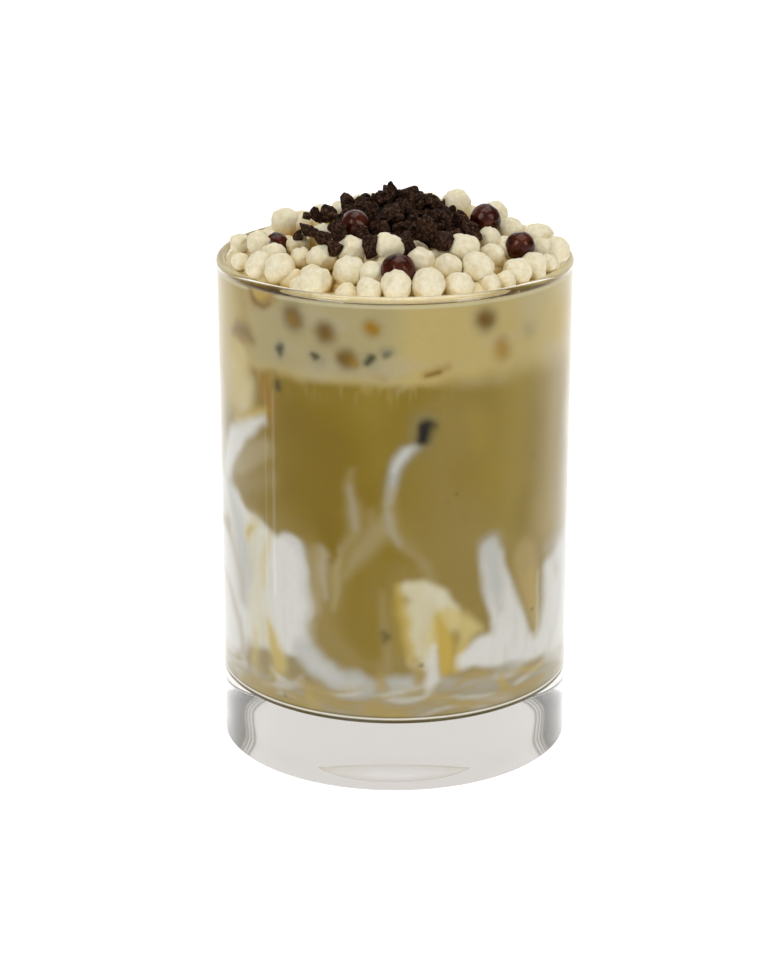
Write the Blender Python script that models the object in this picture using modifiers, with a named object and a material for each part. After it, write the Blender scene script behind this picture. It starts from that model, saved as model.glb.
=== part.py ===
"""A shake in a heavy-based glass: drink, cream, crisp balls, cookie crumbs and chocolate pearls.

Metres, +Z up. The origin is the centre of the foot, on the surface that the glass stands on.
"""

import math
import random

import bmesh
import bpy
import numpy as np
from mathutils import Matrix, Vector

# Spare room between pieces that touch
GAP = 0.0003

# The glass: a straight tumbler with a thick base and a fire-polished rim
GLASS_RADIUS = 0.0375
GLASS_HEIGHT = 0.1064
WALL = 0.002
BASE_THICKNESS = 0.0147
FLOOR_FILLET = 0.0016
FOOT_ROUNDING = 0.0005
FOOT_RING_INNER = 0.024
PUNT_DEPTH = 0.0002
BEAD_RADIUS = 0.0011
BEAD_PROUD = 0.00005
GLASS_SIDES = 48

# The drink and the cream that floats on it
LAYER_HEIGHT = 0.0885
CREAM_LEVEL = 0.1046
LIQUID_SIDES = 40

# The heap of crisp balls: a dome through the centres of its top layer
DOME_TOP = 0.115
DOME_DROP = 0.0086
DOME_RADIUS = 0.0335
DOME_POWER = 2.2
BALL_RADIUS = (0.0027, 0.0034)
BALL_SPACING = 0.0065
BALL_RINGS = 5
BALL_ROUGHNESS = 0.03
BALL_SPREAD = 1.15
SETTLING_STEPS = 200
CORE_RINGS = 5
CORE_EDGE = 0.0004
CORE_SIDES = 20

# The pile of cookie crumbs on the dome
PILE_CENTRE = (0.0010, -0.0042)
PILE_RADIUS = 0.0130
PILE_SEAT = 0.1122
PILE_TOP = 0.1190
PILE_SIDES = 20
PILE_RINGS = 4
PILE_EDGE = 0.0008
CRUMB_RADIUS = (0.0011, 0.0022)
CRUMB_REACH = 0.0018
CRUMB_ROUGHNESS = 0.2
CRUMB_COUNT = 56

# Loose crumbs that lie on the crisp balls, left of the pile: distance from the pile's centre, bearing, size
STRAY_CRUMBS = (
    (0.0205, 178, 0.0021),
    (0.0195, 166, 0.0020),
    (0.0220, 190, 0.0022),
    (0.0185, 200, 0.0023),
    (0.0250, 182, 0.0014),
    (0.0230, 174, 0.0016),
    (0.0190, 187, 0.0015),
    (0.0215, 20, 0.0012),
)

# Chocolate pearls: place and radius of each
PEARLS = (
    ((-0.0080, -0.0165, 0.1163), 0.0030),
    ((0.0187, -0.0070, 0.1152), 0.0032),
    ((0.0256, -0.0130, 0.1110), 0.0030),
    ((0.0007, -0.0293, 0.1099), 0.0035),
    ((-0.0245, -0.0095, 0.1101), 0.0028),
)
PEARL_SUBDIVISIONS = 2
SOCKET_SPARE = 0.00036

SEED = 7

INNER_RADIUS = GLASS_RADIUS - WALL
BEAD_LINE = GLASS_RADIUS + BEAD_PROUD - BEAD_RADIUS
BEAD_HEIGHT = GLASS_HEIGHT - BEAD_RADIUS


def arc(centre, radius, start, end, steps):
    """Points (r, z) of an arc from start to end, in degrees."""
    return [
        (
            centre[0] + radius * math.cos(math.radians(start + (end - start) * i / steps)),
            centre[1] + radius * math.sin(math.radians(start + (end - start) * i / steps)),
        )
        for i in range(steps + 1)
    ]


def clear_scene():
    for item in list(bpy.data.objects):
        bpy.data.objects.remove(item)


def new_collection(name):
    made = bpy.data.collections.new(name)
    bpy.context.scene.collection.children.link(made)
    return made


def material(name, colour, roughness, transmission=0.0):
    made = bpy.data.materials.new(name)
    made.use_nodes = True
    shader = made.node_tree.nodes["Principled BSDF"]
    shader.inputs["Base Color"].default_value = (*colour, 1.0)
    shader.inputs["Roughness"].default_value = roughness
    shader.inputs["Metallic"].default_value = 0.0
    shader.inputs["Transmission Weight"].default_value = transmission
    made.diffuse_color = (*colour, 1.0)
    return made


def turned(name, profile, sides, collection):
    """A profile of (r, z) points, its outer side running down, turned round the Z axis."""
    mesh = bpy.data.meshes.new(name)
    edges = [(i, i + 1) for i in range(len(profile) - 1)]
    mesh.from_pydata([(r, 0.0, z) for r, z in profile], edges, [])
    made = bpy.data.objects.new(name, mesh)
    collection.objects.link(made)
    screw = made.modifiers.new("turn", "SCREW")
    screw.axis = "Z"
    screw.angle = math.tau
    screw.steps = screw.render_steps = sides
    screw.use_merge_vertices = True
    screw.merge_threshold = 0.00001
    screw.use_smooth_shade = True
    return made


def apply_modifiers(item):
    """Puts the evaluated mesh in place of the object's own and drops its modifiers."""
    bpy.context.view_layer.update()
    graph = bpy.context.evaluated_depsgraph_get()
    mesh = bpy.data.meshes.new_from_object(item.evaluated_get(graph))
    item.modifiers.clear()
    item.data = mesh


def boolean(item, operation, other=None, group=None):
    """Joins or cuts the object with another, or with a whole collection, and applies it."""
    cut = item.modifiers.new(operation.lower(), "BOOLEAN")
    cut.operation = operation
    cut.solver = "EXACT"
    if group:
        cut.operand_type = "COLLECTION"
        cut.collection = group
    else:
        cut.object = other
    apply_modifiers(item)


def keep_outer_shell(item):
    """Drops small voids that are shut in between joined pieces: all but the widest run of faces."""
    shape = bmesh.new()
    shape.from_mesh(item.data)
    left = set(shape.verts)
    runs = []
    while left:
        run, edge = set(), [left.pop()]
        while edge:
            point = edge.pop()
            run.add(point)
            near = {other.other_vert(point) for other in point.link_edges} & left
            left -= near
            edge += near
        runs.append(run)
    widest = max(runs, key=lambda run: max(p.co.x for p in run) - min(p.co.x for p in run))
    inside = [point for run in runs if run is not widest for point in run]
    bmesh.ops.delete(shape, geom=inside, context="VERTS")
    shape.to_mesh(item.data)
    shape.free()


def remove_group(group):
    for item in list(group.objects):
        bpy.data.objects.remove(item)
    bpy.data.collections.remove(group)


def largest(roughness):
    """How far a lump may reach, for its radius: its points and its stretch both vary."""
    return (1 + roughness) ** 2


def clear_of_pearls(place, size):
    """Whether a crumb of this size keeps clear of every pearl."""
    reach = size * largest(CRUMB_ROUGHNESS) + GAP
    return all((place - Vector(spot)).length > reach + radius for spot, radius in PEARLS)


def lump(name, place, radius, rounded, roughness, rng, collection):
    """A body of 20 faces, or of 60 where rounded, unevenly scaled, its points moved a little."""
    mesh = bpy.data.meshes.new(name)
    shape = bmesh.new()
    bmesh.ops.create_icosphere(shape, subdivisions=1, radius=radius)
    if rounded:
        bmesh.ops.poke(shape, faces=shape.faces[:])
    for point in shape.verts:
        point.co.length = radius
        point.co *= 1 + roughness * rng.uniform(-1, 1)
    stretch = [1 + roughness * rng.uniform(-1, 1) for _ in range(3)]
    bmesh.ops.scale(shape, vec=stretch, verts=shape.verts)
    axis = Vector([rng.gauss(0, 1) for _ in range(3)])
    turn = Matrix.Rotation(rng.uniform(0, math.tau), 3, axis)
    bmesh.ops.rotate(shape, matrix=turn, verts=shape.verts)
    shape.to_mesh(mesh)
    shape.free()
    made = bpy.data.objects.new(name, mesh)
    made.location = place
    collection.objects.link(made)
    return made


def dome_height(radius):
    """Height of the heap's dome, through its top balls' centres, at a distance from the axis."""
    return DOME_TOP - DOME_DROP * (radius / DOME_RADIUS) ** DOME_POWER


def rim_limit(radius, height):
    """How far from the axis a ball's centre may lie, clear of the wall and of the rim's bead."""
    inside = INNER_RADIUS - GAP - radius
    clear = radius + BEAD_RADIUS + GAP
    above = height - BEAD_HEIGHT
    if above >= clear:
        return BEAD_LINE
    beside = BEAD_LINE - math.sqrt(clear**2 - above**2)
    return beside if above > 0 else min(inside, beside)


def first_balls(rng):
    """Balls in rings from the wall inwards, without those that the pile covers: x, y and radius of each."""
    balls = []
    ring_step = BALL_SPACING * math.sqrt(3) / 2
    outer_ring = INNER_RADIUS - sum(BALL_RADIUS) / 2
    for ring in range(BALL_RINGS):
        ring_radius = outer_ring - ring * ring_step
        count = round(math.tau * ring_radius / BALL_SPACING)
        start = rng.uniform(0, math.tau)
        for i in range(count):
            bearing = start + math.tau * (i + rng.uniform(-0.18, 0.18)) / count
            reach = ring_radius + rng.uniform(-0.0006, 0.0006)
            radius = rng.uniform(*BALL_RADIUS)
            x, y = reach * math.cos(bearing), reach * math.sin(bearing)
            if math.dist((x, y), PILE_CENTRE) > PILE_RADIUS + CRUMB_REACH:
                balls.append((x, y, radius))
    return balls


def settled_balls():
    """The crisp balls, pushed apart until they cover the dome evenly, clear of glass, pile and pearls."""
    rng = random.Random(SEED)
    balls = np.array(first_balls(rng))
    radii = balls[:, 2]
    lift = np.array([rng.uniform(-0.0005, 0.0011) for _ in radii])
    centres = np.zeros((len(radii), 3))
    centres[:, :2] = balls[:, :2]
    wanted = (radii[:, None] + radii[None]) * BALL_SPREAD
    for _ in range(SETTLING_STEPS):
        reach = np.hypot(centres[:, 0], centres[:, 1])
        centres[:, 2] = dome_height(reach) + lift
        apart = centres[:, None] - centres[None]
        distance = np.linalg.norm(apart, axis=2) + np.eye(len(radii))
        crowding = np.clip(wanted - distance, 0, None) * (1 - np.eye(len(radii)))
        centres += 0.3 * (apart / distance[..., None] * crowding[..., None]).sum(axis=1)
        keep_clear(centres, radii)
    return [(Vector(centre), radius) for centre, radius in zip(centres.tolist(), radii.tolist())]


def keep_clear(centres, radii):
    """Moves balls out of the pile, the pearls and the glass."""
    from_pile = centres[:, :2] - PILE_CENTRE
    distance = np.linalg.norm(from_pile, axis=1)
    least = PILE_RADIUS + CRUMB_REACH + GAP + radii
    out = np.clip(least / distance, 1, None)[:, None]
    centres[:, :2] = PILE_CENTRE + from_pile * out
    for place, radius in PEARLS:
        apart = centres - place
        distance = np.linalg.norm(apart, axis=1)
        out = np.clip((radius + radii * largest(BALL_ROUGHNESS) + GAP) / distance, 1, None)[:, None]
        centres[:] = place + apart * out
    for centre, radius in zip(centres, radii):
        reach = math.hypot(centre[0], centre[1])
        centre[:2] *= min(1.0, rim_limit(radius * largest(BALL_ROUGHNESS), centre[2]) / reach)


def build_glass(parts):
    """One turned solid: floor, wall, rounded rim, rounded foot and a shallow hollow under the base."""
    inner_join = math.degrees(math.acos((BEAD_LINE - INNER_RADIUS) / BEAD_RADIUS))
    outer_join = math.degrees(math.acos((GLASS_RADIUS - BEAD_LINE) / BEAD_RADIUS))
    foot = GLASS_RADIUS - FOOT_ROUNDING
    fillet_centre = (INNER_RADIUS - FLOOR_FILLET, BASE_THICKNESS + FLOOR_FILLET)
    profile = [(0.0, BASE_THICKNESS)]
    profile += arc(fillet_centre, FLOOR_FILLET, -90, 0, 3)
    profile += arc((BEAD_LINE, BEAD_HEIGHT), BEAD_RADIUS, 180 + inner_join, 90, 3)
    profile += arc((BEAD_LINE, BEAD_HEIGHT), BEAD_RADIUS, 90, -outer_join, 3)[1:]
    profile += arc((foot, FOOT_ROUNDING), FOOT_ROUNDING, 0, -90, 3)
    profile += [(FOOT_RING_INNER, 0.0), (FOOT_RING_INNER * 0.55, PUNT_DEPTH * 0.75), (0.0, PUNT_DEPTH)]
    glass = turned("glass", profile, GLASS_SIDES, parts)
    glass.data.materials.append(material("clear_glass", (0.93, 0.95, 0.94), 0.02, 1.0))


def build_shake(parts):
    """The drink, from the glass's floor up to the cream."""
    radius = INNER_RADIUS - GAP
    bottom = BASE_THICKNESS + GAP
    profile = [(0.0, LAYER_HEIGHT), (radius, LAYER_HEIGHT)]
    profile += arc((radius - FLOOR_FILLET, bottom + FLOOR_FILLET), FLOOR_FILLET, 0, -90, 3)
    profile += [(0.0, bottom)]
    shake = turned("shake", profile, LIQUID_SIDES, parts)
    shake.data.materials.append(material("shake", (0.30, 0.21, 0.055), 0.35))


def build_cream(parts):
    """The pale layer on top of the drink, up to just under the rim."""
    radius = INNER_RADIUS - GAP
    bottom = LAYER_HEIGHT + GAP
    profile = [(0.0, CREAM_LEVEL), (radius, CREAM_LEVEL), (radius, bottom), (0.0, bottom)]
    cream = turned("cream", profile, LIQUID_SIDES, parts)
    cream.data.materials.append(material("cream", (0.60, 0.48, 0.22), 0.4))


def heap_core(parts):
    """The body that the crisp balls are half sunk in: the dome, down to the cream."""
    bottom = CREAM_LEVEL + GAP
    edge = INNER_RADIUS - GAP - CORE_EDGE
    profile = [(0.0, dome_height(0.0))]
    for i in range(1, CORE_RINGS + 1):
        reach = edge * (i / CORE_RINGS) ** 0.8
        profile.append((reach, dome_height(reach)))
    profile += [(edge, bottom), (0.0, bottom)]
    core = turned("crisp_balls", profile, CORE_SIDES, parts)
    apply_modifiers(core)
    return core


def pile_seat(cutters):
    """The cutter for the hollow that the pile of crumbs stands in."""
    radius = (PILE_RADIUS + CRUMB_REACH + GAP) / math.cos(math.pi / PILE_SIDES)
    above = DOME_TOP + 0.002
    profile = [(0.0, above), (radius, above), (radius, PILE_SEAT), (0.0, PILE_SEAT)]
    seat = turned("pile_seat", profile, PILE_SIDES, cutters)
    seat.location = (*PILE_CENTRE, 0.0)
    apply_modifiers(seat)
    seat.hide_render = True
    seat.display_type = "WIRE"
    return seat


def pearl_ball(name, place, radius, collection):
    """A smooth ball of 80 faces."""
    mesh = bpy.data.meshes.new(name)
    shape = bmesh.new()
    bmesh.ops.create_icosphere(shape, subdivisions=PEARL_SUBDIVISIONS, radius=radius)
    shape.to_mesh(mesh)
    shape.free()
    mesh.shade_smooth()
    made = bpy.data.objects.new(name, mesh)
    made.location = place
    collection.objects.link(made)
    return made


def pearl_sockets():
    """A little larger than the pearls, so that each lies clear of what it rests on."""
    sockets = new_collection("pearl_sockets")
    for i, (place, radius) in enumerate(PEARLS, 1):
        pearl_ball(f"socket_{i}", place, radius + SOCKET_SPARE, sockets)
    return sockets


def box_below(name, height, collection):
    """A cutter that takes away everything below a height."""
    side = 4 * GLASS_RADIUS
    bpy.ops.mesh.primitive_cube_add(size=side, location=(0, 0, height - side / 2))
    made = bpy.context.object
    made.name = name
    for owner in list(made.users_collection):
        owner.objects.unlink(made)
    collection.objects.link(made)
    made.hide_render = True
    made.display_type = "WIRE"
    return made


def stray_places(balls):
    """Where each loose crumb rests: on the ball nearest to its bearing, sunk a little into it."""
    places = []
    for reach, bearing, size in STRAY_CRUMBS:
        turn = math.radians(bearing)
        x = PILE_CENTRE[0] + reach * math.cos(turn)
        y = PILE_CENTRE[1] + reach * math.sin(turn)
        centre, radius = min(balls, key=lambda ball: math.dist(ball[0][:2], (x, y)))
        towards = Vector((x - centre.x, y - centre.y, 0.0)) * 0.6
        upright = math.sqrt(max(radius**2 - towards.length_squared, 0.0))
        places.append((centre + towards + Vector((0, 0, upright)), size))
    return places


def build_crisp_balls(parts, cutters):
    """The heap of crisp balls: a core with the balls and the loose crumbs that show fused on."""
    rng = random.Random(SEED + 1)
    core = heap_core(parts)
    boolean(core, "DIFFERENCE", other=pile_seat(cutters))
    balls = settled_balls()
    group = new_collection("balls")
    for i, (centre, radius) in enumerate(balls):
        lump(f"ball_{i}", centre, radius, True, BALL_ROUGHNESS, rng, group)
    for i, (centre, size) in enumerate(stray_places(balls)):
        if clear_of_pearls(centre, size):
            lump(f"stray_{i}", centre, size, False, CRUMB_ROUGHNESS, rng, group)
    boolean(core, "UNION", group=group)
    remove_group(group)
    sockets = pearl_sockets()
    boolean(core, "DIFFERENCE", group=sockets)
    remove_group(sockets)
    boolean(core, "DIFFERENCE", other=box_below("under_heap", CREAM_LEVEL + GAP, cutters))
    keep_outer_shell(core)
    core.data.materials.clear()
    core.data.materials.append(material("crisp_balls", (0.78, 0.70, 0.48), 0.6))


def pile_height(share):
    """Height of the pile's core at a share of its radius."""
    bottom = PILE_SEAT + GAP
    return bottom + (PILE_TOP - bottom) * (1 - share**1.6)


def build_cookie_crumbs(parts, cutters):
    """The pile of cookie crumbs: a low cone with angular crumbs fused all over it."""
    rng = random.Random(SEED + 2)
    bottom = PILE_SEAT + GAP
    profile = [(PILE_RADIUS * i / PILE_RINGS, pile_height(i / PILE_RINGS)) for i in range(PILE_RINGS)]
    profile += [(PILE_RADIUS, bottom + PILE_EDGE), (PILE_RADIUS, bottom), (0.0, bottom)]
    pile = turned("cookie_crumbs", profile, PILE_SIDES, parts)
    pile.location = (*PILE_CENTRE, 0.0)
    apply_modifiers(pile)
    group = new_collection("crumbs")
    golden_turn = math.pi * (3 - math.sqrt(5))
    for i in range(CRUMB_COUNT):
        share = math.sqrt((i + 0.5) / CRUMB_COUNT)
        size = rng.uniform(*CRUMB_RADIUS)
        turn = i * golden_turn + rng.uniform(-0.15, 0.15)
        reach = min(PILE_RADIUS * share, PILE_RADIUS + CRUMB_REACH - size * largest(CRUMB_ROUGHNESS))
        place = Vector(
            (
                PILE_CENTRE[0] + reach * math.cos(turn),
                PILE_CENTRE[1] + reach * math.sin(turn),
                pile_height(share) + size * 0.35,
            )
        )
        if clear_of_pearls(place, size):
            lump(f"crumb_{i}", place, size, False, CRUMB_ROUGHNESS, rng, group)
    boolean(pile, "UNION", group=group)
    remove_group(group)
    boolean(pile, "DIFFERENCE", other=box_below("under_pile", bottom, cutters))
    keep_outer_shell(pile)
    pile.data.materials.clear()
    pile.data.materials.append(material("cookie_crumbs", (0.045, 0.028, 0.018), 0.85))


def build_pearls(parts):
    """The chocolate pearls, each a solid of its own."""
    coating = material("dark_pearls", (0.075, 0.02, 0.014), 0.2)
    for i, (place, radius) in enumerate(PEARLS, 1):
        pearl = pearl_ball(f"pearl_{i}", place, radius, parts)
        pearl.data.materials.append(coating)


def main():
    clear_scene()
    parts = new_collection("shake_in_glass")
    cutters = new_collection("cutters")
    build_glass(parts)
    build_shake(parts)
    build_cream(parts)
    build_crisp_balls(parts, cutters)
    build_cookie_crumbs(parts, cutters)
    build_pearls(parts)


main()
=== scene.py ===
import math
import random

import bmesh
import bpy
import numpy as np
from mathutils import Matrix, Vector, noise


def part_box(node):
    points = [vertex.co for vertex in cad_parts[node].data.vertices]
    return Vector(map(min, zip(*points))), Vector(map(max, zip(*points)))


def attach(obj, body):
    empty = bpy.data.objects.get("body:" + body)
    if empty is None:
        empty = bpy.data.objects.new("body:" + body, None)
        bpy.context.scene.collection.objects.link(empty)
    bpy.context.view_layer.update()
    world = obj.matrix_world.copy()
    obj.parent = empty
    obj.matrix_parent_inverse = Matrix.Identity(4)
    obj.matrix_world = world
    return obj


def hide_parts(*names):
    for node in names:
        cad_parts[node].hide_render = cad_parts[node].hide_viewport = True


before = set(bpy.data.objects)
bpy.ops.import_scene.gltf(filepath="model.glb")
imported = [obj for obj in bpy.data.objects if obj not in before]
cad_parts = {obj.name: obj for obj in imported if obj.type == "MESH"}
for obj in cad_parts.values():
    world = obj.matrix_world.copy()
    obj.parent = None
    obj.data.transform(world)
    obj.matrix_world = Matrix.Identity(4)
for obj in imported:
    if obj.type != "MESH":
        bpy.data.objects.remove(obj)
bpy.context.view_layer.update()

MM = 0.001
POLE = 0.001 * MM
SEED = 11

# Heights and radii, from the frame
GAP = 0.3 * MM
WALL = 2.0 * MM
INNER_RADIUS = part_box("shake")[1][0] + GAP
GLASS_RADIUS = INNER_RADIUS + WALL
GLASS_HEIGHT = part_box("glass")[1][2]
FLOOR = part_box("shake")[0][2] - GAP
LAYER_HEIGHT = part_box("shake")[1][2] + GAP / 2
CREAM_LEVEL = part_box("cream")[1][2]
CREAM_CLIMB = 0.1 * MM
HEAP_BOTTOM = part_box("crisp_balls")[0][2]
PILE_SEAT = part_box("cookie_crumbs")[0][2]
PILE_TOP = 119.6 * MM
PEARL_BOXES = [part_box(f"pearl_{i}") for i in range(1, 6)]

# The glass's own roundings
FLOOR_FILLET = 1.6 * MM
FOOT_ROUNDING = 0.5 * MM
FOOT_RING_INNER = 24 * MM
PUNT_DEPTH = 0.2 * MM
BEAD_RADIUS = 1.1 * MM
BEAD_PROUD = 0.05 * MM
BEAD_LINE = GLASS_RADIUS + BEAD_PROUD - BEAD_RADIUS
BEAD_HEIGHT = GLASS_HEIGHT - BEAD_RADIUS
GLASS_STEPS = 224
ARC_STEPS = 12

# The drink reaches this far into the wall, so that no air shows between them
INTO_WALL = 0.1 * MM
DRINK_STEPS = 440
DRINK_RINGS = 0.5 * MM

# The dome through the centres of the top crisp balls
DOME_TOP = 115.0 * MM
DOME_DROP = 8.6 * MM
DOME_RADIUS = 33.5 * MM
DOME_POWER = 2.2
BALL_RADIUS = (2.6 * MM, 3.3 * MM)
BALL_CLEARANCE = 0.5 * MM

# Balls that are drawn at random, on top behind the back line, and sunk between the top ones: how often
# one is tried, how near two may come in shares of their radii, and how deep the lower layer is sunk
TOP_TRIES = 6000
TOP_CLOSENESS = 0.9
BACK_LINE = 7 * MM
SUNK_TRIES = 5000
SUNK_CLOSENESS = 0.66
SUNK = 3.2 * MM

# The pile of cookie crumbs: its form, then its crumbs, which are finer in front of the fine line
PILE_CENTRE = Vector((1.2 * MM, -4.2 * MM))
PILE_RADIUS = 14.2 * MM
PILE_POWER = 2.0
PILE_LEAN = 0.16
CRUMB_COUNT = 235
CRUMB_SIZE = 0.8 * MM
CRUMB_SPREAD = 0.8 * MM
CRUMB_JITTER = (-1.0, 0.6)
CORE_DEPTH = 2.4 * MM
FINE_LINE = -5 * MM
LOOSE_SHARE = 0.95

# A lump's flats: how many, and the nearest and farthest from its middle, in shares of its radius
BALL_FLATS = (9, 0.84, 0.97)
CRUMB_FLATS = (9, 0.34, 0.72)
PEARL_FLATS = (6, 0.93, 0.97)
FLAT_SHARE = 0.92

# Edges turned by more than this stay sharp
CREASE = math.radians(60)
CRUMB_CREASE = math.radians(26)

# The camera: place, tilt below the horizon, turn to the left, and focal length on a 36 mm sensor that is
# as high as the render
CAMERA_PLACE = Vector((0.0, -0.5484, 0.2411))
CAMERA_TILT = math.radians(18.59)
CAMERA_TURN = 0.0042
RENDER_SIZE = (768, 955)
SENSOR = 36.0
LENS = 101.13
FOCAL_PIXELS = LENS / SENSOR * RENDER_SIZE[1]

# How far along a line of sight the heap is looked for, in metres, and in how many steps
SIGHT_RANGE = (0.45, 0.75)
SIGHT_STEPS = 300

# Crisp balls that show in the heap: column, row and radius in pixels of the render, and how high in mm
# the centre lies above the dome
SEEN_BALLS = (
    (240, 243, 10, 3.5), (259, 243, 12.5, 3), (287, 223, 15, 1.2), (303, 225, 10, 0),
    (252, 268, 14.5, 2.2), (234, 262, 9, 2), (274, 256, 12.5, 0.6), (281, 270, 15.5, 0.4),
    (298, 246, 11.5, 0), (301, 259, 11, -0.5), (315, 282, 15.5, 0.8), (297, 288, 11, 0.4),
    (322, 259, 14.5, 0), (352, 251, 15.5, 0.8), (349, 272, 15.5, 0.2), (343, 299, 12.5, 0.3),
    (368, 292, 13, 0.8), (371, 275, 13.5, 0), (372, 260, 9, -0.5), (388, 249, 15.5, 1.6),
    (396, 288, 16, 1.2), (320, 215, 10.5, 0), (336, 215, 10, 0), (360, 202, 12, 0.5),
    (322, 236, 11.5, 0), (456, 207, 16, 0.8), (441, 204, 10, 0), (470, 210, 13, 0.2),
    (494, 216, 13.5, 0.8), (509, 231, 14.5, 1.2), (537, 238, 15, 2.6), (560, 250, 13.5, 3.6),
    (489, 240, 13, 0.5), (492, 257, 12.5, 0), (463, 250, 16, 1.6), (421, 262, 15, 0.6),
    (448, 268, 13.5, 0), (437, 257, 9, -0.5), (478, 269, 16.5, 0.8), (429, 286, 16.5, 0.8),
    (463, 290, 15.5, 0.8), (495, 288, 13, 0.6), (517, 272, 13.5, 0.8), (541, 268, 14.5, 1.8),
    (540, 249, 11, 2), (505, 248, 11.5, 0.3), (270, 240, 11, 1.8), (505, 281, 10, 0),
    (556, 264, 9, 2), (383, 268, 11, -1), (516, 290, 8, -0.3),
)

# The heap's upper outline behind the pile: column and row
HEAP_OUTLINE = (
    (225, 256), (231, 244), (238, 233), (248, 233), (258, 230), (268, 230), (273, 220), (277, 213),
    (284, 209), (296, 211), (311, 211), (325, 207), (340, 206), (350, 193), (364, 191), (437, 194),
    (450, 191), (458, 191), (466, 194), (480, 202), (494, 202), (506, 212), (520, 222), (535, 223),
    (545, 223), (551, 227), (556, 235), (568, 241), (572, 252),
)

# Loose cookie crumbs: column, row and radius in pixels, and height above the dome
LOOSE_CRUMBS = (
    (306, 216, 5, 3.2), (317, 216, 8, 3.2), (328, 217, 9, 3.2), (333, 226, 5, 3), (298, 235, 6, 2.8),
    (309, 231, 8, 3), (325, 238, 8, 3.2), (334, 246, 8, 2.8), (341, 237, 10, 3), (346, 204, 8, 3),
    (350, 213, 8, 3), (345, 224, 7, 2.6), (371, 247, 10, 2.8), (365, 236, 8, 3),
    (384, 229, 8.5, 4), (406, 241, 10.5, 3.4), (427, 231, 9, 4.2), (443, 243, 9.5, 3),
    (458, 236, 8, 3.4), (467, 232, 8, 3), (461, 219, 8, 3.4), (470, 226, 7, 3), (393, 238, 6, 3.2),
    (475, 233, 6, 2.8),
)


def tone(red, green, blue):
    """A colour that is given in screen values, 0 to 255, as a linear one."""
    shares = np.array((red, green, blue)) / 255
    return tuple(np.where(shares <= 0.04045, shares / 12.92, ((shares + 0.055) / 1.055) ** 2.4).tolist())


# Tones of the drink as they show through the glass
KHAKI_DEEP = tone(125, 103, 33)
KHAKI = tone(135, 114, 46)
KHAKI_DULL = tone(148, 130, 80)
KHAKI_LIGHT = tone(154, 134, 64)
SAND = tone(171, 150, 95)
TAN = tone(163, 148, 108)
MILK = tone(216, 216, 212)
MILK_SHADE = tone(180, 181, 176)
MILK_WARM = tone(212, 208, 186)
SILT = tone(180, 171, 153)
CREAM = tone(185, 167, 110)
CREAM_DULL = tone(170, 158, 116)
CREAM_PALE = tone(202, 185, 132)
CREAM_WHITE = tone(203, 196, 165)
GOLD = tone(190, 164, 82)
GOLD_PALE = tone(202, 186, 126)
AMBER = tone(150, 114, 40)
BROWN = tone(106, 76, 26)
WHITE = tone(240, 238, 230)
# The drink's underside: near white with a blue cast, painted so that its reflection in the glass's foot
# shows pale, a painted reflection
UNDERSIDE = tone(240, 241, 248)
INK = tone(44, 42, 34)
SLATE = tone(134, 131, 108)

# The dark lines are painted shade where the drink turns under, the pale one a painted highlight
# Lines round the drink's lower edge: colour, height above the floor and half width in mm, and strength
EDGE_SHADE_AND_HIGHLIGHT = ((INK, 1.6, 0.2, 0.45), (WHITE, 1.2, 0.17, 0.85), (INK, 0.45, 0.45, 0.8))

# In mm up the wall: where the stirred band at the floor ends, and where the cream begins
FLOOR_BAND = 24.0
CREAM_EDGE = 88.0

# How much softer the strokes run into each other than their own softness
SOFTER = 1.4

# Light that the glass itself adds in front of the drink
VEIL = (0.014, 0.014, 0.020)


# ---- shapes


def arc(centre, radius, start, end, steps):
    """Points (r, z) of an arc from start to end, in degrees."""
    turns = [math.radians(start + (end - start) * i / steps) for i in range(steps + 1)]
    return [(centre[0] + radius * math.cos(turn), centre[1] + radius * math.sin(turn)) for turn in turns]


def in_scene(name, data):
    """A new object in the scene."""
    thing = bpy.data.objects.new(name, data)
    bpy.context.scene.collection.objects.link(thing)
    return thing


def mesh_of(name, shape, material):
    """The mesh of a shape, with its material."""
    mesh = bpy.data.meshes.new(name)
    shape.to_mesh(mesh)
    shape.free()
    mesh.materials.append(material)
    return mesh


def finished(name, shape, slot, material, *replaced, crease=math.pi):
    """Makes the piece, smooth but for its creases, hangs it on the root body and hides the parts that it
    replaces.
    """
    mesh = mesh_of(name, shape, material)
    mesh.shade_smooth()
    if crease < math.pi:
        mesh.set_sharp_from_angle(angle=crease)
    piece = in_scene(name, mesh)
    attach(piece, "root")
    if replaced:
        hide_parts(*replaced)
    return piece


def turned(profile, steps):
    """A profile of (r, z) points spun round the axis into one closed shape."""
    shape = bmesh.new()
    points = [shape.verts.new((r, 0, z)) for r, z in profile]
    edges = [shape.edges.new(pair) for pair in zip(points, points[1:])]
    axis = {"cent": (0, 0, 0), "axis": (0, 0, 1)}
    bmesh.ops.spin(shape, geom=points + edges, angle=math.tau, steps=steps, use_merge=True, **axis)
    poles = [vertex for vertex in shape.verts if vertex.co.xy.length < POLE]
    bmesh.ops.remove_doubles(shape, verts=poles, dist=POLE)
    bmesh.ops.recalc_face_normals(shape, faces=shape.faces)
    return shape


def add_lump(whole, subdivisions, placed):
    """Adds a ball to the whole, each of its points moved to where the given rule places that direction."""
    lump = bmesh.new()
    bmesh.ops.create_icosphere(lump, subdivisions=subdivisions, radius=1.0)
    for vertex in lump.verts:
        vertex.co = placed(vertex.co.normalized())
    mesh = bpy.data.meshes.new("lump")
    lump.to_mesh(mesh)
    lump.free()
    whole.from_mesh(mesh)
    bpy.data.meshes.remove(mesh)


def dome_height(radius):
    """Height of the dome at a distance from the axis."""
    return DOME_TOP - DOME_DROP * (radius / DOME_RADIUS) ** DOME_POWER


# ---- materials


def new_material(name):
    """A material and its Principled shader."""
    made = bpy.data.materials.new(name)
    made.use_nodes = True
    return made, made.node_tree.nodes["Principled BSDF"]


def set_inputs(node, values):
    """Sets a node's own inputs by their names."""
    for name, value in values.items():
        node.inputs[name].default_value = value


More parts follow.
